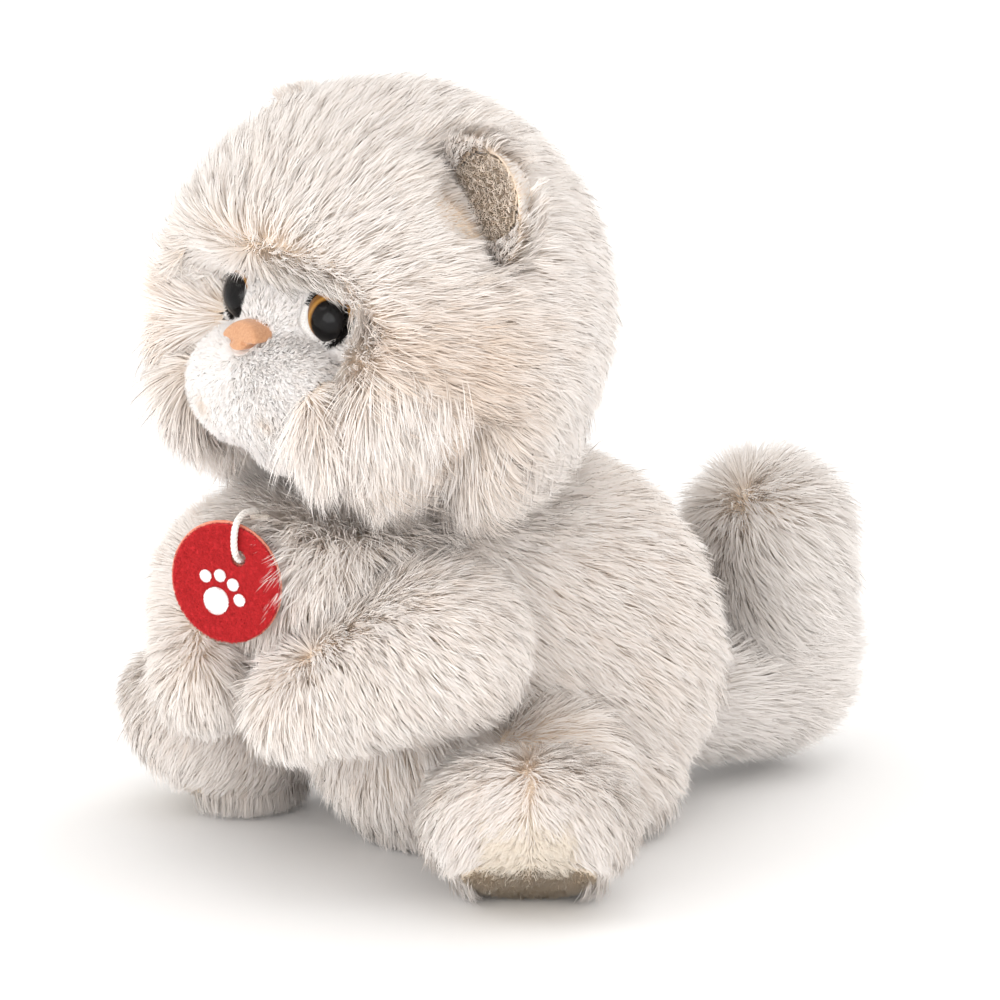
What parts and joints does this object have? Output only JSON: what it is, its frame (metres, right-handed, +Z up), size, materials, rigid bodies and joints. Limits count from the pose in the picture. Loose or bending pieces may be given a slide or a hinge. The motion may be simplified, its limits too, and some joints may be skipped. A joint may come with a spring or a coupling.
{
  "type": "plush cat",
  "caption": "Long-pile plush cat toy that sits crouched, with a soft neck, folding ears, forelegs and tail that bend at their seams, and a felt hang tag on a cord.",
  "frame": {"origin": "on the floor under the middle of the toy's box, hang tag and cord left out", "axes": "+Z up, the cat faces -Y, its left side is +X, and its tail stands at +Y"},
  "size_m": [0.2112, 0.248, 0.237],
  "materials": {
    "long_pile_fur": "matte",
    "face_plush": "matte",
    "tan_plush": "matte",
    "base_cloth": "matte",
    "fibre_filling": "matte",
    "pouch_cloth": "matte",
    "plastic_beans": "satin",
    "sewing_thread": "matte",
    "nose_suede": "matte",
    "clear_lens": "gloss",
    "painted_eye": "gloss",
    "washer_plastic": "satin",
    "red_felt": "matte",
    "white_embroidery": "satin",
    "cotton_cord": "matte"
  },
  "bodies": {
    "torso": {"torso_cover": "long_pile_fur", "torso_stuffing": "fibre_filling", "bean_pouch": "pouch_cloth", "bean_fill": "plastic_beans", "seat_panel": "base_cloth", "neck_thread": "sewing_thread", "tag_anchor": "sewing_thread", "hind_foot_cover_left": "long_pile_fur", "hind_foot_stuffing_left": "fibre_filling", "sole_pad_left": "tan_plush", "hind_foot_cover_right": "long_pile_fur", "hind_foot_stuffing_right": "fibre_filling", "sole_pad_right": "tan_plush"},
    "neck": {"neck_stuffing": "fibre_filling"},
    "head": {"head_cover": "long_pile_fur", "head_stuffing": "fibre_filling", "face_panel": "face_plush", "nose": "nose_suede", "mouth_thread": "sewing_thread", "eye_lens_left": "clear_lens", "eye_disc_left": "painted_eye", "eye_washer_left": "washer_plastic", "eye_lens_right": "clear_lens", "eye_disc_right": "painted_eye", "eye_washer_right": "washer_plastic"},
    "tail": {"tail_cover": "long_pile_fur", "tail_stuffing": "fibre_filling"},
    "hang_tag": {"tag_felt": "red_felt", "tag_backing": "red_felt", "tag_motif": "white_embroidery", "tag_cord": "cotton_cord"},
    "ear_left": {"ear_cover_left": "long_pile_fur", "ear_lining_left": "tan_plush"},
    "foreleg_left": {"foreleg_cover_left": "long_pile_fur", "foreleg_stuffing_left": "fibre_filling"},
    "ear_right": {"ear_cover_right": "long_pile_fur", "ear_lining_right": "tan_plush"},
    "foreleg_right": {"foreleg_cover_right": "long_pile_fur", "foreleg_stuffing_right": "fibre_filling"}
  },
  "joints": [
    {"name": "head_turn", "type": "hinge", "parent": "torso", "child": "neck", "pos_m": [0, -0.054, 0.167], "axis": [0, 0, 1], "range_deg": [-30, 30], "stiffness_Nm_per_rad": 0.25},
    {"name": "head_nod", "type": "hinge", "parent": "neck", "child": "head", "pos_m": [0, -0.054, 0.167], "axis": [1, 0, 0], "range_deg": [-12, 15], "stiffness_Nm_per_rad": 0.5},
    {"name": "tail_swing", "type": "hinge", "parent": "torso", "child": "tail", "pos_m": [0, 0.046, 0.027], "axis": [0, 0, 1], "range_deg": [-25, 25], "stiffness_Nm_per_rad": 0.05},
    {"name": "tag_swing", "type": "hinge", "parent": "torso", "child": "hang_tag", "pos_m": [-0.00076, -0.10083, 0.11045], "axis": [-0.9272, -0.3746, 0], "range_deg": [0, 25]},
    {"name": "foreleg_left_spread", "type": "hinge", "parent": "torso", "child": "foreleg_left", "pos_m": [0.046, -0.072, 0.076], "axis": [0, 0, 1], "range_deg": [0, 35], "stiffness_Nm_per_rad": 0.05},
    {"name": "ear_left_fold", "type": "hinge", "parent": "head", "child": "ear_left", "pos_m": [0.04056, -0.05133, 0.20331], "axis": [-0.667, 0, 0.7451], "range_deg": [-20, 20], "stiffness_Nm_per_rad": 0.02},
    {"name": "foreleg_right_spread", "type": "hinge", "parent": "torso", "child": "foreleg_right", "pos_m": [-0.046, -0.072, 0.076], "axis": [0, 0, -1], "range_deg": [0, 35], "stiffness_Nm_per_rad": 0.05},
    {"name": "ear_right_fold", "type": "hinge", "parent": "head", "child": "ear_right", "pos_m": [-0.04056, -0.05133, 0.20331], "axis": [-0.667, 0, -0.7451], "range_deg": [-20, 20], "stiffness_Nm_per_rad": 0.02}
  ]
}
